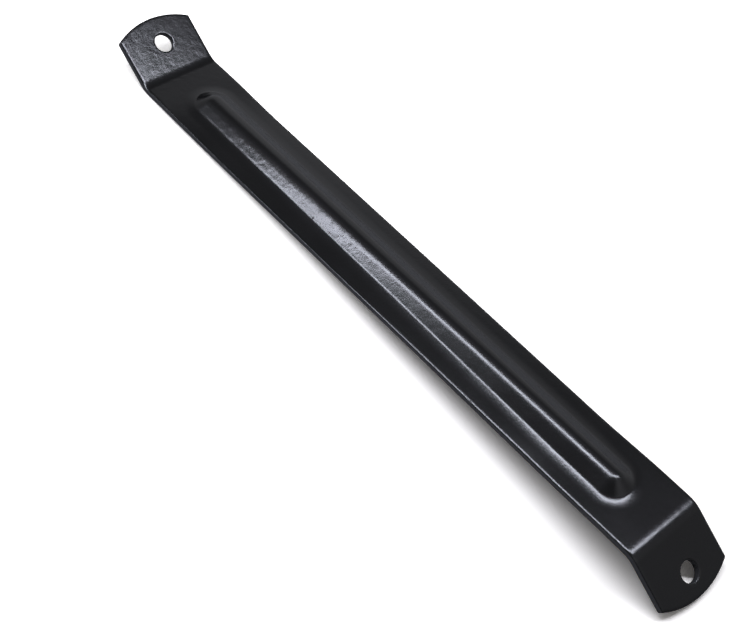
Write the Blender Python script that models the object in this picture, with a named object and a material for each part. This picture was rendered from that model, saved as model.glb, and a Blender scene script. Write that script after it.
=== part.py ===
"""Pressed steel brace for the front shield of a machine.

A strip of sheet steel is pressed with one long stiffening bead, folded up at one end and down at
the other, and pierced with one bolt hole in each end tab. The brace lies as it would on a floor:
on the outside of its upward fold and on the tip of its lowered tab. +X runs along it towards the
lowered tab, +Y across it and +Z up.
"""
import math

import bmesh
import bpy
import numpy as np
from mathutils import Vector

# Driving dimensions in metres. Distances along a tab start at its fold, where the middle planes of
# the strip and the tab would meet. Both tabs have the same angle and length, and both holes sit
# the same small offset from the centre line, towards +Y.
STRIP_WIDTH = 0.032
SHEET_THICKNESS = 0.0025
FOLD_SPACING = 0.25
FOLD_INNER_RADIUS = 0.0075
TAB_ANGLE = math.radians(32.0)
TAB_LENGTH = 0.0241
RAISED_HOLE_DISTANCE = 0.0135
LOWERED_HOLE_DISTANCE = 0.0157
HOLE_OFFSET = 0.0007
HOLE_DIAMETER = 0.0074
TAB_END_RADIUS = 0.032
EDGE_ROUNDING = 0.0004

# The bead: a round crown, a straight wall, a hollow fillet and a wide soft foot that meets the
# flat strip. Its setback is from the fold to the end of the dome, and the width, the height and the
# radii are those of the sheet's middle surface.
BEAD_SETBACK = 0.0107
BEAD_WIDTH = 0.0226
BEAD_HEIGHT = 0.0035
CROWN_RADIUS = 0.0056
FILLET_RADIUS = 0.0043
FOOT_RADIUS = 0.0193
FOOT_LEAN = math.radians(11.7)

# Pressing the bead stretches the sheet and draws the strip's long edges in. The drawn share is how
# much of the bead's spare length comes from the edges. They also end a little lower than the
# middle of the strip. Both changes come in over a short run from the bead's end.
DRAWN_SHARE = 0.3
EDGE_DROP = 0.00085
PRESSED_RUN = 0.032

# How finely curves are divided
FOLD_STEPS = 8
CROWN_STEPS = 6
FILLET_STEPS = 4
FOOT_STEPS = 3
FLANGE_STEPS = 2
DOME_SIDE_STEPS = 6
DOME_END_STEPS = 16
STRAIGHT_STEPS = 20
HOLE_STEPS = 48
ROUNDING_STEPS = 2

# A cutter runs past both faces of the sheet by this much, and points closer than the weld
# distance are one point.
CUTTER_OVERRUN = 0.002
WELD_DISTANCE = 0.000001
# Where two faces meet at more than this angle, their edge is sharp.
SHARP_ANGLE = math.radians(35.0)
# The sheet's rim is rounded and the tab's corners, which turn through less, are left sharp.
RIM_ANGLE = math.radians(70.0)

PAINT_COLOUR = (0.012, 0.012, 0.013, 1.0)
PAINT_ROUGHNESS = 0.16


def clear_scene():
    """Remove every object that the scene starts with."""
    for old in list(bpy.data.objects):
        bpy.data.objects.remove(old, do_unlink=True)


class Fold:
    """One fold and the tab beyond it: side is -1 or 1 along X, turn is 1 for up and -1 for down."""

    def __init__(self, side, turn, hole_distance):
        self.side = side
        self.turn = turn
        self.hole_distance = hole_distance
        self.radius = FOLD_INNER_RADIUS + SHEET_THICKNESS / 2
        self.setback = self.radius * math.tan(TAB_ANGLE / 2)
        self.start = FOLD_SPACING / 2 - self.setback
        self.arc_length = self.radius * TAB_ANGLE

    def tab_point(self, distance, height=0.0):
        """The point at a distance along the tab from its fold and a height off its middle plane."""
        along = Vector((self.side * math.cos(TAB_ANGLE), 0, self.turn * math.sin(TAB_ANGLE)))
        corner = Vector((self.side * FOLD_SPACING / 2, 0, 0))
        return corner + distance * along + height * self.tab_normal()

    def tab_normal(self):
        """The upward direction square to the tab."""
        lean = -self.side * self.turn * math.sin(TAB_ANGLE)
        return Vector((lean, 0, math.cos(TAB_ANGLE)))

    def place(self, beyond, y):
        """Carry flat points, by their length beyond the start of the fold, round the fold."""
        turned = np.clip(beyond / self.radius, 0, TAB_ANGLE)
        straight = np.minimum(beyond, 0) + np.maximum(beyond - self.arc_length, 0)
        x = self.start + self.radius * np.sin(turned) + straight * np.cos(turned)
        z = self.radius * (1 - np.cos(turned)) + straight * np.sin(turned)
        return np.stack([self.side * x, y, self.turn * z], axis=-1)


def bead_section():
    """Rings of the bead from its crown line to its foot: distance out and height, and spare length.

    The wall is the straight line that touches the crown's circle from above and the fillet's from
    below. Its lean comes from where those two circles' centres lie.
    """
    foot_inner = BEAD_WIDTH / 2 - FOOT_RADIUS * math.sin(FOOT_LEAN)
    foot_rise = FOOT_RADIUS * (1 - math.cos(FOOT_LEAN))
    fillet_centre = (foot_inner + FILLET_RADIUS * math.sin(FOOT_LEAN),
                     foot_rise + FILLET_RADIUS * math.cos(FOOT_LEAN))
    drop = BEAD_HEIGHT - CROWN_RADIUS - fillet_centre[1]
    apart = math.hypot(fillet_centre[0], drop)
    wall = math.sqrt(apart ** 2 - (CROWN_RADIUS + FILLET_RADIUS) ** 2)
    lean = math.atan2(drop, fillet_centre[0]) + math.atan2(CROWN_RADIUS + FILLET_RADIUS, wall)

    crown = np.linspace(0, lean, CROWN_STEPS + 1)
    fillet = np.linspace(lean, FOOT_LEAN, FILLET_STEPS + 1)
    foot = np.linspace(FOOT_LEAN, 0, FOOT_STEPS + 1)[1:]
    out = np.concatenate([CROWN_RADIUS * np.sin(crown),
                          fillet_centre[0] - FILLET_RADIUS * np.sin(fillet),
                          BEAD_WIDTH / 2 - FOOT_RADIUS * np.sin(foot)])
    height = np.concatenate([BEAD_HEIGHT - CROWN_RADIUS * (1 - np.cos(crown)),
                             fillet_centre[1] - FILLET_RADIUS * np.cos(fillet),
                             FOOT_RADIUS * (1 - np.cos(foot))])
    section_length = (CROWN_RADIUS * lean + wall + FILLET_RADIUS * (lean - FOOT_LEAN)
                      + FOOT_RADIUS * FOOT_LEAN)
    return out, height, section_length - BEAD_WIDTH / 2


def pressed_share(x):
    """How fully the pressing has moved the strip's edges at x: smoothly from 0 to 1."""
    inside = FOLD_SPACING / 2 - BEAD_SETBACK - np.abs(x)
    share = np.clip(inside / PRESSED_RUN, 0, 1)
    return share * share * (3 - 2 * share)


def half_breadth(x, spare_length):
    """Half the strip's breadth at x, drawn in along the bead."""
    return STRIP_WIDTH / 2 - DRAWN_SHARE * spare_length * pressed_share(x)


def crowned(points):
    """Points of the flat strip, lowered with the square of their distance from its centre line."""
    x, y, z = np.moveaxis(points, -1, 0)
    drop = EDGE_DROP * pressed_share(x) * (y / (STRIP_WIDTH / 2)) ** 2
    return np.stack([x, y, z - drop], axis=-1)


def bead_rays(dome_centre, cross_line, spare_length):
    """Lines that run square out from the bead's spine, once round it.

    Each has its start x, its direction and its length out to the strip's edge or to the cross
    line, where the plain end of the strip begins. One of them runs into each corner.
    """
    reach = cross_line - dome_centre
    corner = math.atan2(half_breadth(cross_line, spare_length), reach)
    side_angles = np.linspace(math.pi / 2, corner, DOME_SIDE_STEPS + 1)
    end_heights = np.linspace(1, -1, DOME_END_STEPS + 1)[1:-1] * math.tan(corner)
    angles = np.concatenate([side_angles, np.arctan(end_heights), -side_angles[::-1]])
    slant = np.maximum(np.abs(np.sin(angles)), WELD_DISTANCE)
    edge_hit = dome_centre + STRIP_WIDTH / 2 * np.cos(angles) / slant
    to_edge = half_breadth(np.minimum(edge_hit, cross_line), spare_length) / slant
    to_cross_line = reach / np.maximum(np.cos(angles), WELD_DISTANCE)
    length = np.where(np.abs(angles) > corner, to_edge, to_cross_line)
    dome = np.stack([np.full_like(angles, dome_centre), np.cos(angles), np.sin(angles), length], 1)

    x = np.linspace(dome_centre, -dome_centre, STRAIGHT_STEPS + 1)[1:-1]
    flank = np.stack([x, 0 * x, 0 * x - 1, half_breadth(x, spare_length)], axis=1)
    half_round = np.concatenate([dome, flank])
    other_half = half_round * (-1, -1, -1, 1)
    return np.concatenate([half_round, other_half])


def beaded_rings(rays, out, height):
    """Points of the beaded part, ring by ring from the crown line to the edge."""
    start, across_x, across_y, length = rays.T
    foot = out[-1]
    flange = [foot + (length - foot) * (i + 1) / FLANGE_STEPS for i in range(FLANGE_STEPS)]
    reach = np.concatenate([np.tile(out[:, None], (1, len(rays))), flange])
    level = np.append(height, np.zeros(FLANGE_STEPS))[:, None]
    x = start + reach * across_x
    y = reach * across_y
    return np.stack([x, y, np.broadcast_to(level, x.shape)], axis=-1)


def end_rows(fold, cross_line, shares):
    """Rows of points across one end, from the cross line round the fold to the arc-shaped tip."""
    beyond = np.linspace(0, fold.arc_length, FOLD_STEPS + 1)
    half = STRIP_WIDTH / 2
    tip = fold.arc_length + TAB_LENGTH - fold.setback
    y = shares * half
    tip_row = tip - TAB_END_RADIUS + np.sqrt(TAB_END_RADIUS ** 2 - y ** 2)
    line_y = shares * cross_line[1]
    rows = [crowned(fold.place(np.full_like(y, cross_line[0] - fold.start), line_y))]
    rows += [fold.place(np.full_like(y, b), y) for b in beyond]
    rows.append(fold.place(tip_row, y))
    return np.array(rows)


def add_grid(mesh, points, closed):
    """Add rows of points and the four-sided faces between them."""
    rows = [[mesh.verts.new(p) for p in row] for row in points]
    count = len(rows[0])
    for near, far in zip(rows, rows[1:]):
        for j in range(count if closed else count - 1):
            k = (j + 1) % count
            mesh.faces.new((near[j], near[k], far[k], far[j]))


def build_middle_surface(folds):
    """The sheet's middle surface: the beaded strip and a folded tab at each end."""
    out, height, spare_length = bead_section()
    dome_end = FOLD_SPACING / 2 - BEAD_SETBACK
    dome_centre = dome_end - BEAD_WIDTH / 2
    cross_x = (dome_end + max(fold.start for fold in folds)) / 2
    cross_line = (cross_x, float(half_breadth(cross_x, spare_length)))

    mesh = bmesh.new()
    rays = bead_rays(dome_centre, cross_x, spare_length)
    add_grid(mesh, crowned(beaded_rings(rays, out, height)), closed=True)
    shares = np.linspace(-1, 1, DOME_END_STEPS + 1)
    for fold in folds:
        add_grid(mesh, end_rows(fold, cross_line, shares), closed=False)
    bmesh.ops.remove_doubles(mesh, verts=mesh.verts, dist=WELD_DISTANCE)
    bmesh.ops.recalc_face_normals(mesh, faces=mesh.faces)
    return mesh


def painted_steel():
    """Glossy black paint on steel."""
    material = bpy.data.materials.new("black_paint")
    material.use_nodes = True
    shader = material.node_tree.nodes["Principled BSDF"]
    shader.inputs["Base Color"].default_value = PAINT_COLOUR
    shader.inputs["Roughness"].default_value = PAINT_ROUGHNESS
    shader.inputs["Metallic"].default_value = 0.0
    return material


def add_brace(folds):
    """The pressed sheet as one object, with its thickness and its rounded rim."""
    mesh = bpy.data.meshes.new("shield_brace")
    surface = build_middle_surface(folds)
    surface.to_mesh(mesh)
    surface.free()
    mesh.materials.append(painted_steel())
    brace = bpy.data.objects.new("shield_brace", mesh)
    bpy.context.collection.objects.link(brace)

    wall = brace.modifiers.new("sheet_thickness", "SOLIDIFY")
    wall.thickness = SHEET_THICKNESS
    wall.offset = 0
    wall.use_even_offset = True
    rim = brace.modifiers.new("rounded_rim", "BEVEL")
    rim.width = EDGE_ROUNDING
    rim.segments = ROUNDING_STEPS
    rim.limit_method = "ANGLE"
    rim.angle_limit = RIM_ANGLE
    mesh.shade_smooth()
    mesh.set_sharp_from_angle(angle=SHARP_ANGLE)
    return brace


def pierce(brace, fold, name):
    """Cut the tab's bolt hole, square to the tab."""
    bpy.ops.mesh.primitive_cylinder_add(
        vertices=HOLE_STEPS, radius=HOLE_DIAMETER / 2, depth=SHEET_THICKNESS + 2 * CUTTER_OVERRUN)
    punch = bpy.context.object
    punch.name = name
    punch.parent = brace
    punch.location = fold.tab_point(fold.hole_distance) + Vector((0, HOLE_OFFSET, 0))
    punch.rotation_euler.y = -fold.side * fold.turn * TAB_ANGLE
    punch.hide_render = True
    punch.display_type = "WIRE"
    cut = brace.modifiers.new(name, "BOOLEAN")
    cut.operation = "DIFFERENCE"
    cut.solver = "EXACT"
    cut.object = punch


def rest_tilt(raised, lowered):
    """The angle by which the strip slopes when the brace lies on a floor.

    The floor touches two circles from below: the outside of the raised fold and the rounded lower
    edge of the lowered tab's tip.
    """
    fold_centre = Vector((raised.side * raised.start, 0, raised.radius))
    fold_outside = raised.radius + SHEET_THICKNESS / 2
    edge_centre = lowered.tab_point(
        TAB_LENGTH - EDGE_ROUNDING, EDGE_ROUNDING - SHEET_THICKNESS / 2)
    apart = fold_centre - edge_centre
    spread = math.acos((fold_outside - EDGE_ROUNDING) / apart.length)
    return math.atan2(apart.x, apart.z) + spread


def lay_on_floor(brace, tilt):
    """Tilt the brace, stand its lowest point on the floor and centre it above the origin."""
    brace.rotation_euler.y = -tilt
    bpy.context.view_layer.update()
    corners = evaluated_corners(brace)
    brace.location = (-corners[:, 0].mean(), -corners[:, 1].mean(), -corners[0, 2])
    bpy.context.view_layer.update()


def evaluated_corners(brace):
    """The lowest and highest corner of the finished solid, in world space."""
    solid = brace.evaluated_get(bpy.context.evaluated_depsgraph_get())
    mesh = solid.to_mesh()
    points = np.array([solid.matrix_world @ v.co for v in mesh.vertices])
    solid.to_mesh_clear()
    return np.array([points.min(axis=0), points.max(axis=0)])


def main():
    clear_scene()
    raised = Fold(-1, 1, RAISED_HOLE_DISTANCE)
    lowered = Fold(1, -1, LOWERED_HOLE_DISTANCE)
    brace = add_brace((raised, lowered))
    pierce(brace, raised, "raised_hole_punch")
    pierce(brace, lowered, "lowered_hole_punch")
    lay_on_floor(brace, rest_tilt(raised, lowered))


main()
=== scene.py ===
# %% [markdown]
# # A pressed steel brace in glossy black paint
#
# The brace is one strip of sheet steel. A press gives it a long raised bead that stiffens it,
# folds one end up and the other end down, and punches a bolt hole in each folded tab. Then it is
# dipped or sprayed in glossy black paint. This lesson rebuilds it as one closed surface that is
# worked out with numpy, paints it with a material whose texture lies in its normals, and lights it
# like a small product on a white table.
#
# The packed model comes first. It is the fixed frame: the new surface has to lie where it lies.

# %% The frame
import math

import bpy
import numpy as np
from mathutils import Matrix, Vector


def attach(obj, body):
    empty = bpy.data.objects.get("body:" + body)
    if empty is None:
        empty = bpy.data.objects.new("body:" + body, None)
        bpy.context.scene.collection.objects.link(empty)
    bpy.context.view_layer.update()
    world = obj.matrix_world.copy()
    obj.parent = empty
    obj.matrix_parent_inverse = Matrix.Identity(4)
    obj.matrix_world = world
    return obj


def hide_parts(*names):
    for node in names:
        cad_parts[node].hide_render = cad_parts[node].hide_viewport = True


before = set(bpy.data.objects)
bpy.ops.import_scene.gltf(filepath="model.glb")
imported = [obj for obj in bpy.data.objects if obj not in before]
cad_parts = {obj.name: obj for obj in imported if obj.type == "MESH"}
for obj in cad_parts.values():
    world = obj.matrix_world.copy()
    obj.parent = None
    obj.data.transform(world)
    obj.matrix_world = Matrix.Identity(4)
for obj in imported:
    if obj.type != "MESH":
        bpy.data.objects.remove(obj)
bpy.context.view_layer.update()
print("frame nodes:", sorted(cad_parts))

# %% [markdown]
# ## The strip
#
# The real thing is cut from 32 mm strip of 2.5 mm sheet. A sheet-metal part is easiest to describe
# flat: every point has a place s along the unfolded strip, a place y across it, and a height above
# the sheet's middle surface. All lengths are metres. The raised tab is at negative s, the lowered
# tab at positive s, and the middle surface turns through the tab angle on an arc at each fold.

# %% Sizes of the strip and its tabs
STRIP_WIDTH = 0.032
SHEET = 0.0025
FOLD_SPACING = 0.25
FOLD_RADIUS = 0.0075 + SHEET / 2
TAB_ANGLE = math.radians(32.0)
TAB_LENGTH = 0.02404
TAB_BOW = 0.0075

FOLD_SETBACK = FOLD_RADIUS * math.tan(TAB_ANGLE / 2)
FOLD_START = FOLD_SPACING / 2 - FOLD_SETBACK
FOLD_END = FOLD_START + FOLD_RADIUS * TAB_ANGLE
TIP = FOLD_END + TAB_LENGTH - FOLD_SETBACK
print(f"the flat strip is {2 * TIP * 1000:.1f} mm long")

# %% [markdown]
# ## The bead
#
# The bead's section is a round crown, a straight wall, a hollow fillet and a wide soft foot. The
# wall is the line that touches the crown's circle on one side and the fillet's on the other, so its
# lean follows from where their two centres lie. Carried round the bead's spine, the same section
# also makes the two domed ends. Towards the raised tab all of it is a little lower, because the
# light that it mirrors there says so.

# %% Sizes of the bead
BEAD_SETBACK = 0.0107
BEAD_HALF_WIDTH = 0.0113
BEAD_HEIGHT = 0.00349
CROWN_RADIUS = 0.0056
FILLET_RADIUS = 0.0043
FOOT_RADIUS = 0.0193
FOOT_LEAN = math.radians(11.7)
FAR_SINK = 0.08
SINK_STARTS, SINK_IS_FULL = 0.06, 0.105

FOOT_INNER = BEAD_HALF_WIDTH - FOOT_RADIUS * math.sin(FOOT_LEAN)
FILLET_OUT = FOOT_INNER + FILLET_RADIUS * math.sin(FOOT_LEAN)
FILLET_UP = FOOT_RADIUS * (1 - math.cos(FOOT_LEAN)) + FILLET_RADIUS * math.cos(FOOT_LEAN)
CENTRE_DROP = BEAD_HEIGHT - CROWN_RADIUS - FILLET_UP
BOTH_RADII = CROWN_RADIUS + FILLET_RADIUS
WALL = math.sqrt(FILLET_OUT ** 2 + CENTRE_DROP ** 2 - BOTH_RADII ** 2)
LEAN = math.atan2(CENTRE_DROP, FILLET_OUT) + math.atan2(BOTH_RADII, WALL)
BEAD_END = FOLD_SPACING / 2 - BEAD_SETBACK
SPINE_END = BEAD_END - BEAD_HALF_WIDTH
print(f"the bead's wall is {WALL * 1000:.1f} mm long and leans {math.degrees(LEAN):.1f} degrees")

# %% [markdown]
# The height over the flat strip follows from one number, the distance out to the spine. Each arc of
# the section is a circle's equation solved for height, and each stretch of the section is picked by
# how far out it is. Two helpers do it, and the first is used wherever something fades in or out.

# %% Height of the bead
def smooth_step(value, low, high):
    """0 below low, 1 above high, and between them 3 t^2 - 2 t^3 of the share t of the way."""
    share = np.clip((value - low) / (high - low), 0, 1)
    return share * share * (3 - 2 * share)


def bead_rise(x, y):
    """Height of the bead over the strip, from the distance out to its spine.

    The spine is the line between the dome centres. The section is an arc, a straight line and two
    more arcs, and a smooth step along the strip sinks it towards the raised tab.
    """
    out = np.hypot(np.maximum(np.abs(x) - SPINE_END, 0), y)
    crown_out = CROWN_RADIUS * math.sin(LEAN)
    wall_top = BEAD_HEIGHT - CROWN_RADIUS * (1 - math.cos(LEAN))
    crown = BEAD_HEIGHT - CROWN_RADIUS + np.sqrt(np.maximum(CROWN_RADIUS ** 2 - out ** 2, 0))
    wall = wall_top - (out - crown_out) * math.tan(LEAN)
    fillet = FILLET_UP - np.sqrt(np.maximum(FILLET_RADIUS ** 2 - (out - FILLET_OUT) ** 2, 0))
    foot_in = np.clip(BEAD_HALF_WIDTH - out, 0, FOOT_RADIUS)
    foot = FOOT_RADIUS - np.sqrt(FOOT_RADIUS ** 2 - foot_in ** 2)
    inner = np.where(out < crown_out, crown, wall)
    outer = np.where(out < FOOT_INNER, fillet, foot)
    return (np.where(out < crown_out + WALL * math.cos(LEAN), inner, outer)
            * (1 - FAR_SINK * smooth_step(-x, SINK_STARTS, SINK_IS_FULL)))


print("the bead's height in mm, every 2 mm out from its spine:",
      (bead_rise(0.0, np.arange(6) * 0.002) * 1000).round(2))

# %% [markdown]
# ## From flat strip to pressed strip
#
# Steel that goes up into the bead has to come from somewhere. The sheet stretches for most of it,
# and the strip's long edges are drawn in for the rest. They also hang down a little beside the
# bead. Both fade out towards its ends. One function then raises the bead, lowers the edges and
# bends the strip round its folds, for whole arrays at once.

# %% The middle surface of the sheet
DRAWN_SHARE = 0.3
EDGE_DROP = 0.00085
PRESSED_RUN = 0.032

SPARE_LENGTH = (BOTH_RADII * LEAN + WALL + (FOOT_RADIUS - FILLET_RADIUS) * FOOT_LEAN
                - BEAD_HALF_WIDTH)


def pressed_share(x):
    """How fully the press has moved the strip's edges at x: a smooth step from 0 to 1."""
    return smooth_step(BEAD_END - np.abs(x), 0, PRESSED_RUN)


def half_breadth(x):
    """Half the strip's breadth: each edge is drawn in by a share of the bead's spare length."""
    return STRIP_WIDTH / 2 - DRAWN_SHARE * SPARE_LENGTH * pressed_share(x)


def middle_surface(s, y):
    """Bend the flat strip: straight on, then round an arc of the fold radius, then straight again.

    The fold also leaves a tab bowed by a few hundredths of a millimetre, as a parabola, and the
    strip's drop beside the bead grows with the square of the distance from its middle.
    """
    turned = np.clip((np.abs(s) - FOLD_START) / FOLD_RADIUS, 0, TAB_ANGLE)
    straight = np.maximum(np.abs(s) - FOLD_END, 0)
    run = (np.minimum(np.abs(s), FOLD_START) + FOLD_RADIUS * np.sin(turned)
           + straight * np.cos(turned))
    bow = TAB_BOW * straight * (1 - straight / (TIP - FOLD_END))
    rise = FOLD_RADIUS * (1 - np.cos(turned)) + straight * np.sin(turned) + bow
    crowned = EDGE_DROP * pressed_share(s) * (y / (STRIP_WIDTH / 2)) ** 2
    return np.stack([np.sign(s) * run, y, bead_rise(s, y) - crowned - np.sign(s) * rise], axis=-1)


print(f"each edge is drawn in by {DRAWN_SHARE * SPARE_LENGTH * 1000:.2f} mm")

# %% [markdown]
# ## On the table
#
# The brace lies on the outside of its upward fold and on the tip of its lowered tab, so the strip
# is tilted by a few degrees. The sheet's two faces lie half a thickness off the middle surface. The
# direction square to the sheet comes from tiny steps along the surface, so it is right for any
# shape.

# %% Lay the sheet on the table
TILT = math.radians(2.66182)
STRIP_LIFT = 0.006948
STEP = 2e-6


def sheet_point(s, y, height):
    """A point of the sheet in the scene: the middle surface, moved square to it by the height."""
    along = middle_surface(s + STEP, y) - middle_surface(s - STEP, y)
    across = middle_surface(s, y + STEP) - middle_surface(s, y - STEP)
    square = np.cross(along, across)
    square /= np.linalg.norm(square, axis=-1, keepdims=True)
    x, y, z = np.moveaxis(middle_surface(s, y) + square * np.asarray(height)[..., None], -1, 0)
    return np.stack([x * math.cos(TILT) - z * math.sin(TILT), y,
                     x * math.sin(TILT) + z * math.cos(TILT) + STRIP_LIFT], axis=-1)


middle = sheet_point(np.array(0.0), np.array(0.0), 0.0)
print("the strip's middle in mm:", (middle * 1000).round(2))

# %% [markdown]
# ## The outline
#
# The outline is a closed loop of points in the flat strip. A tip is three arcs: a small one at each
# corner and a wide one between them. The same loop can be asked for a little further in, and its
# points keep their order, so an edge can later be carried along it.

# %% Outline of a tab
TIP_RADIUS = 0.032
CORNER_RADIUS, SMALLEST_RADIUS = 0.0008, 0.0001
CORNER_STEPS, TIP_STEPS = 6, 40
SIDE_SHARES = np.linspace(0, 1, 15)[1:-1]


def arc(centre, radius, first, last, steps):
    """Points on an arc between two angles that are measured from the strip's axis."""
    angle = np.linspace(first, last, steps + 1)
    return np.stack([centre + radius * np.cos(angle), radius * np.sin(angle)], axis=-1)


def tip_outline(inset):
    """Round one tab from its fold line: out along a side, corner, wide tip, corner, and back.

    The wide arc and the sides move in by the inset. A corner's radius shrinks by as much, down to
    almost nothing, and its centre is where it touches both.
    """
    wide, half = TIP_RADIUS - inset, STRIP_WIDTH / 2 - inset
    small = max(CORNER_RADIUS - inset, SMALLEST_RADIUS)
    centre = TIP - TIP_RADIUS
    corner_s = centre + math.sqrt((wide - small) ** 2 - (half - small) ** 2)
    turn = math.asin((half - small) / (wide - small))
    side_s = FOLD_END + (corner_s - FOLD_END) * SIDE_SHARES
    low_side = np.stack([side_s, np.full_like(side_s, -half)], axis=-1)
    corner = arc(corner_s, small, -math.pi / 2, -turn, CORNER_STEPS) - (0, half - small)
    tip = arc(centre, wide, -turn, turn, TIP_STEPS)
    mirrored = np.array([1, -1])
    return np.concatenate([low_side, corner, tip[1:-1], corner[::-1] * mirrored,
                           low_side[::-1] * mirrored])


print("points round one tab:", len(tip_outline(0.0)))

# %% [markdown]
# ## The rolled edge
#
# A punch drags the upper edge of the sheet down a little over about a millimetre and leaves the
# lower edge nearly square. The edge is a profile carried along the outline: it starts on the upper
# face, rolls over in a long soft curve, drops down the sheared wall and ends in a small curve on
# the lower face. Light runs along such an edge as one thin line, which a sharp corner would never
# show. How wide that line is tells how wide the roll is: it is narrow along the far half of the
# left edge, and the right edge is rolled less deeply than the left.

# %% Profile of the edge
RIM_ROLL = (0.0012, 0.00032)
HOLE_ROLL = (0.0007, 0.00022)
BURR = 0.0004
EDGE_STEPS = 10
NARROWING = 0.7
NARROW_FROM, NARROW_TO = (-0.118, -0.105), (-0.015, 0.025)
LEFT_DEPTH, RIGHT_DEPTH, DEPTH_FADE = 1.0, 0.45, 0.015


def edge_profile(roll):
    """Inset, height, sag below the upper face, and nearness to the wall, along an edge.

    A flat quarter ellipse comes first, then the sheared wall, then a quarter round. Nearness is 0
    where the ellipse leaves the upper face and 1 on the wall.
    """
    width, depth = roll
    turn = np.linspace(0, math.pi / 2, EDGE_STEPS + 1)
    top = np.stack([width * (1 - np.sin(turn)), 0 * turn + SHEET / 2, -depth * (1 - np.cos(turn)),
                    np.sin(turn)])
    low = np.stack([BURR * (1 - np.cos(turn)), BURR * (1 - np.sin(turn)) - SHEET / 2, 0 * turn,
                    np.cos(turn)])
    return np.concatenate([top, low], axis=1)


def roll_share(s):
    """How wide the roll is at s, on the left and on the right, as shares of its full width.

    The left share goes down by the narrowing and up again, each time by a smooth step.
    """
    narrow = smooth_step(s, *NARROW_FROM) * smooth_step(-s, -NARROW_TO[1], -NARROW_TO[0])
    return 1 - NARROWING * narrow, 1 + 0 * s


def roll_depth(s, y):
    """How deep the roll is there, as a share of its full depth.

    It changes evenly across the strip from the left depth to the right one, and on the left it
    shrinks along with the width.
    """
    across = np.clip(y / DEPTH_FADE, -1, 1)
    mean, change = (LEFT_DEPTH + RIGHT_DEPTH) / 2, (LEFT_DEPTH - RIGHT_DEPTH) / 2
    return np.where(y < 0, roll_share(s)[0], 1) * (mean - change * across)


print("points across an edge:", edge_profile(RIM_ROLL).shape[1])

# %% [markdown]
# ## Patches
#
# The upper face needs three patches: the long strip on a plain grid, and each tab on a ring grid
# that spreads from the round hole to the tab's outline, so that the hole is a true circle. The
# lower face is the same three patches on the other side of the sheet. Two rows lie close together
# at every border, so that the shading of the wide faces isn't pulled round the edge.

# %% Grid of the long strip
BORDER = 0.00012
BEFORE_DOME, AFTER_DOME = 0.004, 0.002
STATION_COUNTS = (70, 32, 8, 16)
COLUMNS = 72


def along_stations():
    """Places along the strip: finer where the folds and the bead's domes curve."""
    marks = [0, SPINE_END - BEFORE_DOME, BEAD_END + AFTER_DOME, FOLD_START, FOLD_END]
    pieces = [np.linspace(a, b, n + 1)[:-1] for a, b, n in zip(marks, marks[1:], STATION_COUNTS)]
    half = np.append(np.concatenate(pieces), FOLD_END)
    return np.concatenate([-half[:0:-1], half])


def across_shares():
    """Places across the strip from -1 to 1, with one close to each border."""
    inner = np.linspace(-1, 1, COLUMNS + 1)[1:-1]
    near = 1 - BORDER / (STRIP_WIDTH / 2)
    return np.concatenate([[-1, -near], inner, [near, 1]])


def strip_grid(inset):
    """The strip between its two fold ends, its borders pulled in by the inset: s and y grids."""
    s, share = np.meshgrid(along_stations(), across_shares(), indexing="ij")
    left, right = (inset * part for part in roll_share(s))
    return s, (left - right) / 2 + share * (half_breadth(s) - (left + right) / 2)


print("strip grid:", strip_grid(0.0)[0].shape)

# %% [markdown]
# A tab's rings start on the round hole and end on the tab's border. Each point of the border has its
# own point on the hole, the one that lies straight towards it, and the rings between the two are
# evenly spaced. The bolt holes of the two tabs are not quite as far from their folds.

# %% Ring grid of a tab
HOLE_RADIUS = 0.0037
HOLE_DISTANCE = {-1: 0.0135, 1: 0.0157}
HOLE_OFFSET = 0.0007
RINGS = 12


def tab_rim(inset):
    """The closed border of one tab: its outline and the fold line, pulled in by the inset."""
    fold_y = across_shares()[::-1] * (STRIP_WIDTH / 2 - inset)
    fold_line = np.stack([np.full_like(fold_y, FOLD_END), fold_y], axis=-1)
    return np.concatenate([tip_outline(inset), fold_line])


def hole_outline(inset, side):
    """One tab's round hole, widened by the inset, with one point for each point of the rim."""
    centre = np.array([FOLD_END - FOLD_SETBACK + HOLE_DISTANCE[side], HOLE_OFFSET])
    spoke = tab_rim(0.0) - centre
    return centre + (HOLE_RADIUS + inset) * spoke / np.linalg.norm(spoke, axis=1, keepdims=True)


def tab_grid(rim_inset, hole_inset, side):
    """Rings from the hole to the tab's border, each pulled in by its inset: s and y grids."""
    rim, hole_rim = tab_rim(rim_inset), hole_outline(hole_inset, side)
    gap = np.linalg.norm(rim - hole_rim, axis=1)
    share = np.concatenate([[0 * gap, BORDER / gap],
                            np.linspace(0, 1, RINGS + 1)[1:-1, None] + 0 * gap,
                            [1 - BORDER / gap, 0 * gap + 1]])
    points = hole_rim + share[..., None] * (rim - hole_rim)
    return side * points[..., 0], points[..., 1]


print("tab grid:", tab_grid(0.0, 0.0, 1)[0].shape)

# %% [markdown]
# ## One closed shell
#
# All patches go into one mesh. Each brings its points and its four-sided faces, wound so that they
# face out, and points that two patches share are merged. Every point also keeps two notes for the
# paint: its place in the flat sheet, and how near it is to a sheared wall.

# %% The two faces of the sheet
patches = []


def add_patch(s, y, height, nearness, flip, closed=False):
    """Keep one grid of the sheet: its points, its faces and its notes for the paint."""
    points = sheet_point(s, y, height + 0 * s)
    notes = np.stack([s, y, height + 0 * s, nearness + 0 * s], axis=-1)
    rows, columns = s.shape
    index = np.arange(rows * columns).reshape(rows, columns)
    if closed:
        index = np.concatenate([index, index[:, :1]], axis=1)
    quads = np.stack([index[:-1, :-1], index[1:, :-1], index[1:, 1:], index[:-1, 1:]], axis=-1)
    quads = quads.reshape(-1, 4)
    patches.append((points.reshape(-1, 3), quads[:, ::-1] if flip else quads,
                    notes.reshape(-1, 4)))


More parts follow.
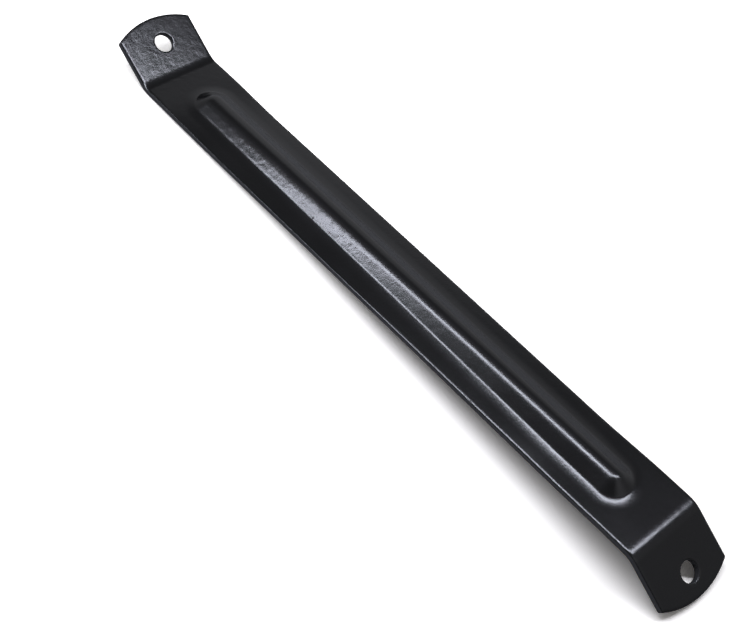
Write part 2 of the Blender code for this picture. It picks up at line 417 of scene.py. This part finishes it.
for height, rim_inset, hole_inset in ((SHEET / 2, RIM_ROLL[0], HOLE_ROLL[0]),
                                      (-SHEET / 2, BURR, BURR)):
    add_patch(*strip_grid(rim_inset), height, 0, flip=height < 0)
    for side in (-1, 1):
        add_patch(*tab_grid(rim_inset, hole_inset, side), height, 0,
                  flip=side * height < 0, closed=True)
print("faces of the sheet:", sum(len(quads) for _, quads, _ in patches))

# %% [markdown]
# The edge closes the shell: the profile goes once round the whole outline and once round each hole.
# Its first ring lies on the border of the upper patches and its last on that of the lower ones.

# %% The edge carried round the outline and the two holes
def sheet_outline(inset):
    """The whole closed outline, pulled in by the inset: a long side, a tip, a long side, a tip."""
    station = along_stations()
    left, right = (np.stack([station, inset * part - half_breadth(station)], axis=-1)
                   for part in roll_share(station))
    tip = tip_outline(inset)
    return np.concatenate([left, tip, right[::-1] * (1, -1), tip[::-1] * (-1, 1)])


def add_edge(outline, roll, flip, depth=lambda s, y: 1):
    """Carry the edge profile along a closed outline, asked for at each inset of the profile."""
    inset, height, sag, nearness = (column[:, None] for column in edge_profile(roll))
    s, y = np.moveaxis(np.stack([outline(i) for i in inset[:, 0]]), -1, 0)
    add_patch(s, y, height + sag * depth(s, y), nearness, flip, closed=True)


add_edge(sheet_outline, RIM_ROLL, flip=False, depth=roll_depth)
for side in (-1, 1):
    add_edge(lambda inset: hole_outline(inset, side) * (side, 1), HOLE_ROLL, flip=side > 0)
print("points round the outline:", len(sheet_outline(0.0)))

# %% [markdown]
# ## The finished piece
#
# A closed shell has no open edge left. Its volume times the density of steel is the weight of the
# real brace, which is a good last test. The piece then rides on the model's only body and stands
# for its only node.

# %% The finished shell
import bmesh

MERGE_DISTANCE = 2e-7
STEEL_DENSITY = 7850

points, quads, notes = zip(*patches)
offsets = np.cumsum([0] + [len(p) for p in points])
faces = np.concatenate([q + offset for q, offset in zip(quads, offsets)])
notes = np.concatenate(notes)
shell_mesh = bpy.data.meshes.new("brace_shell")
shell_mesh.from_pydata(np.concatenate(points), [], faces)
flat_note = shell_mesh.attributes.new("flat", "FLOAT_VECTOR", "POINT")
flat_note.data.foreach_set("vector", notes[:, :3].ravel())
wall_note = shell_mesh.attributes.new("wall", "FLOAT", "POINT")
wall_note.data.foreach_set("value", notes[:, 3])
shell = bmesh.new()
shell.from_mesh(shell_mesh)
bmesh.ops.remove_doubles(shell, verts=shell.verts, dist=MERGE_DISTANCE)
open_edges = sum(not edge.is_manifold for edge in shell.edges)
volume = shell.calc_volume(signed=True)
shell.to_mesh(shell_mesh)
shell.free()
shell_mesh.shade_smooth()
brace = bpy.data.objects.new("brace_shell", shell_mesh)
bpy.context.collection.objects.link(brace)
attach(brace, "root")
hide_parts("shield_brace")
print("faces:", len(shell_mesh.polygons), "open edges:", open_edges)
print(f"volume {volume * 1e6:.2f} cm3, so {volume * STEEL_DENSITY * 1000:.0f} g of steel")

# %% [markdown]
# ## Shader maths in plain Python
#
# A material is a graph of nodes. Two small classes make it read like arithmetic. A value wraps one
# output of a node, and a sum or a product of values adds its Math node by itself. Every other node
# comes from one method, which takes the node's type, its settings and what goes into its sockets.

# %% Values of a node graph
class Value:
    """One output of a node, with Python's operators standing for Math nodes."""

    def __init__(self, graph, output):
        self.graph, self.output = graph, output

    def _maths(self, operation, *terms):
        """Add a Math node that does the operation on the terms in order."""
        return self.graph.node("ShaderNodeMath", {"operation": operation}, dict(enumerate(terms)))

    def __add__(self, other):
        return self._maths("ADD", self, other)

    def __sub__(self, other):
        return self._maths("SUBTRACT", self, other)

    def __rsub__(self, other):
        return self._maths("SUBTRACT", other, self)

    def __mul__(self, other):
        return self._maths("MULTIPLY", self, other)

    def __rpow__(self, other):
        return self._maths("POWER", other, self)

    __radd__, __rmul__ = __add__, __mul__


print("reflected forms:", [name for name in vars(Value) if name.startswith("__r")])

# %% [markdown]
# The graph class makes the nodes. Its short helpers wrap the few kinds of node that come up again
# and again: a smooth step, noise, one part of a vector and a distance.

# %% The node graph
class Graph:
    """The node tree of one material or world, emptied and ready to be filled."""

    def __init__(self, owner):
        owner.use_nodes = True
        self.tree = owner.node_tree
        self.tree.nodes.clear()

    def node(self, kind, settings=None, sockets=None, out=0):
        """Add a node, set it up, fill its sockets with constants or links, give one output."""
        made = self.tree.nodes.new(kind)
        for name, setting in (settings or {}).items():
            setattr(made, name, setting)
        for name, entry in (sockets or {}).items():
            if isinstance(entry, Value):
                self.tree.links.new(entry.output, made.inputs[name])
            else:
                made.inputs[name].default_value = entry
        return Value(self, made.outputs[out]) if made.outputs else None

    def ramp(self, value, low, high):
        """A smooth step of a value, from 0 at low to 1 at high."""
        return self.node("ShaderNodeMapRange", {"interpolation_type": "SMOOTHSTEP"},
                         {"Value": value, "From Min": low, "From Max": high})

    def noise(self, place, scale, detail=1.0, roughness=0.5):
        """Soft cloudy noise between 0 and 1, with its features one over the scale apart."""
        return self.node("ShaderNodeTexNoise", None, {
            "Vector": place, "Scale": scale, "Detail": detail, "Roughness": roughness})

    def part(self, vector, axis):
        """One number of a vector, by the name of its axis."""
        return self.node("ShaderNodeSeparateXYZ", None, {0: vector}, out=axis)

    def distance(self, vector, point):
        """The straight distance from a vector to a fixed point."""
        return self.node("ShaderNodeVectorMath", {"operation": "DISTANCE"},
                         {0: vector, 1: point}, out="Value")


print("helpers:", [name for name in vars(Graph) if not name.startswith("_")])

# %% [markdown]
# ## Glossy black paint
#
# Black gloss hides almost all colour: what shows is what it mirrors. So its texture lives in the
# normals. Sprayed paint dries with orange peel, soft dimples about two millimetres apart, on slower
# waves, and over a finer grain of the steel. Where the light is mirrored, the photograph shows more
# peel on the raised tab and on the bead's walls in its far half than elsewhere, so the relief is
# stronger there. It follows the place in the flat sheet, which the mesh kept as a note.

# %% Relief of the paint
PEEL, WAVE, GRAIN = 430.0, 110.0, 1900.0
WAVE_SHARE, PLAIN_RELIEF, GRAIN_SHARE = 0.6, 0.42, 0.33
TAB_STARTS, TAB_IS_FULL = -0.117, -0.124
WALL_ALONG = ((-0.108, -0.1), (0.005, -0.025))
WALL_ACROSS = ((0.0022, 0.0034), (0.0068, 0.0056))

paint = bpy.data.materials.new("gloss_black_paint")
graph = Graph(paint)
place = graph.node("ShaderNodeTexCoord", out="Object")
flat = graph.node("ShaderNodeAttribute", {"attribute_name": "flat"}, out="Vector")
along, across = graph.part(flat, "X"), graph.part(flat, "Y")
off_middle = graph.node("ShaderNodeMath", {"operation": "ABSOLUTE"}, {0: across})
on_tab = graph.ramp(along, TAB_STARTS, TAB_IS_FULL)
far_half, wall_band = (graph.ramp(value, *first) * graph.ramp(value, *last) for value, (first, last)
                       in ((along, WALL_ALONG), (off_middle, WALL_ACROSS)))
peel = graph.noise(place, PEEL, roughness=0.4)
coarse = peel + graph.noise(place, WAVE) * WAVE_SHARE
relief = (coarse * (PLAIN_RELIEF + (1 - PLAIN_RELIEF) * on_tab + far_half * wall_band)
          + graph.noise(place, GRAIN) * GRAIN_SHARE)
print("nodes of the relief:", len(graph.tree.nodes))

# %% [markdown]
# On the sheared walls the film is thin, so there the paint is greyer and duller. The same grey
# marks two small nicks that show in the photograph, one at the foot of the bead and one on the left
# edge. The gloss itself is a little cloudy.

# %% Thin spots in the paint
NICKS = ((-0.0364, -0.0061, 0.0005), (0.0542, -0.0156, 0.0007))
DEEP_BLACK, THIN_BLACK = (0.0022, 0.0022, 0.0024, 1.0), (0.02, 0.02, 0.021, 1.0)
WALL_STARTS, WALL_IS_FULL = 0.9, 1.0
CLOUD = 60.0
ROUGHNESS, CLOUD_ROUGHNESS, THIN_ROUGHNESS = 0.17, 0.04, 0.25

wall = graph.node("ShaderNodeAttribute", {"attribute_name": "wall"}, out="Fac")
thin = graph.ramp(wall, WALL_STARTS, WALL_IS_FULL)
for s, y, radius in NICKS:
    away = graph.distance(flat, (s, y, SHEET / 2))
    thin = thin + graph.ramp(away, radius * 1.3, radius * 0.5)
colour = graph.node("ShaderNodeMix", {"data_type": "RGBA"}, {0: thin, 6: DEEP_BLACK, 7: THIN_BLACK},
                    out=2)
cloud = graph.ramp(graph.noise(place, CLOUD, detail=3.0), 0.2, 0.8)
roughness = cloud * CLOUD_ROUGHNESS + ROUGHNESS + thin * THIN_ROUGHNESS
print("nicks:", len(NICKS))

# %% [markdown]
# The relief, the colour and the gloss meet in one shader. The relief is only about a twentieth of a
# millimetre deep, and the paint's index of refraction is that of most paints.

# %% The paint
RELIEF_DEPTH = 0.00005
PAINT_IOR = 1.5

bumps = graph.node("ShaderNodeBump", None, {
    "Strength": 1.0, "Distance": RELIEF_DEPTH, "Height": relief})
gloss = graph.node("ShaderNodeBsdfPrincipled", None, {
    "Base Color": colour, "Roughness": roughness, "IOR": PAINT_IOR, "Normal": bumps})
graph.node("ShaderNodeOutputMaterial", None, {"Surface": gloss})
brace.data.materials.append(paint)
print("nodes of the paint:", len(graph.tree.nodes))

# %% [markdown]
# ## Camera
#
# The camera stands where the photograph was taken from: to the right of the front, a little more
# than half-way up to straight above, about 44 cm from the middle of the brace, and rolled a little.

# %% Camera
AIM = Vector((0.008767, -0.018169, 0.008))
AZIMUTH, ELEVATION, ROLL = (math.radians(a) for a in (35.444, 51.499, 16.483))
DISTANCE = 0.43619

back = Vector((math.sin(AZIMUTH) * math.cos(ELEVATION), -math.cos(AZIMUTH) * math.cos(ELEVATION),
               math.sin(ELEVATION)))
camera = bpy.data.objects.new("camera", bpy.data.cameras.new("camera"))
camera.matrix_world = (Matrix.Translation(AIM + back * DISTANCE)
                       @ (-back).to_track_quat("-Z", "Y").to_matrix().to_4x4()
                       @ Matrix.Rotation(ROLL, 4, "Z"))
camera.data.lens = 62.265
camera.data.sensor_width = 36.0
camera.data.clip_start = 0.01
bpy.context.collection.objects.link(camera)
bpy.context.scene.camera = camera
print("camera in mm:", [round(c * 1000, 1) for c in camera.matrix_world.translation])

# %% [markdown]
# ## White table
#
# A white table runs under the brace. The camera sees it a touch brighter than it is lit, and a
# touch warmer, so that it reaches white under the bluish lamps and only the shadow stays. A painted
# glow, light added to the table where the camera sees it, grows towards the raised tab and lightens
# the faint end of the shadow as in the photograph, and a white glow that grows with the distance
# hides the horizon in low views. The paint mirrors a dimmer table, because the photograph shows the
# sides that face the table nearly black.

# %% Table
REACH = 3
# painted light: strength of the glow added to the seen table that lightens the shadow towards the
# raised tab
PAINTED_SHADOW_LIFT = 0.2
LIT_WHITE, SEEN_WHITE = (0.8, 0.8, 0.8, 1), (1.25, 1.2, 1.09, 1)
MIRRORED_GREY = (0.25, 0.25, 0.25, 1)

table = bpy.data.meshes.new("table")
table.from_pydata([(-REACH, -REACH, 0), (REACH, -REACH, 0), (REACH, REACH, 0), (-REACH, REACH, 0)],
                  [], [(0, 1, 2, 3)])
table_top = bpy.data.objects.new("table", table)
bpy.context.collection.objects.link(table_top)
white = bpy.data.materials.new("white_table")
graph = Graph(white)
place = graph.node("ShaderNodeTexCoord", out="Object")
along, away = graph.part(place, "X"), graph.distance(place, (0, 0, 0))
# painted light: the first two terms lift the shadow towards the raised tab, the last whitens the far
# table
painted_lift_and_far_white = (PAINTED_SHADOW_LIFT * graph.ramp(along, 0.02, -0.06) + PAINTED_SHADOW_LIFT * graph.ramp(along, -0.11, -0.15)
        + graph.ramp(away, 0.2, 0.7))
seen = graph.node("ShaderNodeLightPath", out="Is Camera Ray")
mirrored = graph.node("ShaderNodeLightPath", out="Is Glossy Ray")
plain, bright, dim = (graph.node("ShaderNodeBsdfDiffuse", None, {"Color": tone})
                      for tone in (LIT_WHITE, SEEN_WHITE, MIRRORED_GREY))
bright_with_painted_lift = graph.node("ShaderNodeAddShader", None, {
    0: bright, 1: graph.node("ShaderNodeEmission", None, {"Strength": painted_lift_and_far_white})})
lit = graph.node("ShaderNodeMixShader", None, {0: seen, 1: plain, 2: bright_with_painted_lift})
graph.node("ShaderNodeOutputMaterial", None, {
    "Surface": graph.node("ShaderNodeMixShader", None, {0: mirrored, 1: lit, 2: dim})})
table.materials.append(white)
print("nodes of the table:", len(graph.tree.nodes))

# %% [markdown]
# ## Lamps
#
# The thin bright lines on the bead and the edges are one long narrow lamp, mirrored in surfaces
# that curve. It hangs level above the table, far longer than the brace, and a wide faint panel round
# it spreads a soft glow. A lamp's power is its radiance times pi times its area, divided by how
# bright its colour is.

# %% Lamps
LAMP_COLOUR, COLOUR_BRIGHTNESS = (0.845, 0.875, 1.0), 0.88
LAMP_POINT, LAMP_TURN = Vector((-0.11, 0.0251, 0.612)), math.radians(46.46)
LAMP_BACK, LAMP_AHEAD = 1.2, 0.546


def long_panel(name, width, radiance):
    """A lamp that faces straight down and reaches back and ahead from the lamp point."""
    lamp = bpy.data.lights.new(name, "AREA")
    lamp.shape, lamp.size, lamp.size_y = "RECTANGLE", LAMP_BACK + LAMP_AHEAD, width
    lamp.energy = radiance / COLOUR_BRIGHTNESS * math.pi * lamp.size * width
    lamp.color = LAMP_COLOUR
    panel = bpy.data.objects.new(name, lamp)
    panel.matrix_world = (Matrix.Translation(LAMP_POINT) @ Matrix.Rotation(LAMP_TURN, 4, "Z")
                          @ Matrix.Translation(((LAMP_AHEAD - LAMP_BACK) / 2, 0, 0)))
    bpy.context.collection.objects.link(panel)
    print(f"{name}: {lamp.size:.2f} x {width:.2f} m, {lamp.energy:.2f} W")


long_panel("long_lamp", 0.06, 24.06)
long_panel("lamp_reflector", 0.722, 0.048)

# %% [markdown]
# ## The room around it
#
# Everything else that the paint mirrors is the room. It is an even grey with a few large soft
# patches, two brighter and two darker, each a bell curve round one direction, and it is never
# darker than a set floor. Below the horizon it is one darker grey. The camera sees it white, like
# the table.

# %% Room
EVEN_GLOW, LEAST_GLOW, LOW_GLOW, HORIZON = 0.6669, 0.15, 0.204, 0.05
PATCHES = (
    (0.5594, (-0.4751, 0.5641, 0.6753), 0.2077),
    (-0.944, (0.6642, -0.5532, 0.5028), 0.975),
    (-1.475, (-0.2594, 0.3912, 0.883), 0.2743),
    (0.666, (0.565, 0.1977, 0.8011), 0.2649),
)

world = bpy.data.worlds.new("studio")
bpy.context.scene.world = world
graph = Graph(world)
way = graph.node("ShaderNodeTexCoord", out="Generated")
sky = EVEN_GLOW
for strength, middle, spread in PATCHES:
    away = graph.distance(way, middle)
    sky = sky + strength * math.e ** (away * away * (-0.5 / spread ** 2))
sky = graph.node("ShaderNodeMath", {"operation": "MAXIMUM"}, {0: sky, 1: LEAST_GLOW})
above = graph.ramp(graph.part(way, "Z"), -HORIZON, HORIZON)
glow = LOW_GLOW + (sky - LOW_GLOW) * above
room = graph.node("ShaderNodeBackground", None, {"Color": (0.98, 0.99, 1.05, 1), "Strength": glow})
backdrop = graph.node("ShaderNodeBackground", None, {"Color": (1, 1, 1, 1), "Strength": 1.0})
seen = graph.node("ShaderNodeLightPath", out="Is Camera Ray")
graph.node("ShaderNodeOutputWorld", None, {
    "Surface": graph.node("ShaderNodeMixShader", None, {0: seen, 1: room, 2: backdrop})})
print("nodes of the room:", len(graph.tree.nodes))

# %% [markdown]
# ## Finish
#
# The plain view transform shows a colour as it is written.

# %% Finish
bpy.context.scene.view_settings.view_transform = "Standard"
print("pieces:", [brace.name], "stage:", [table_top.name])
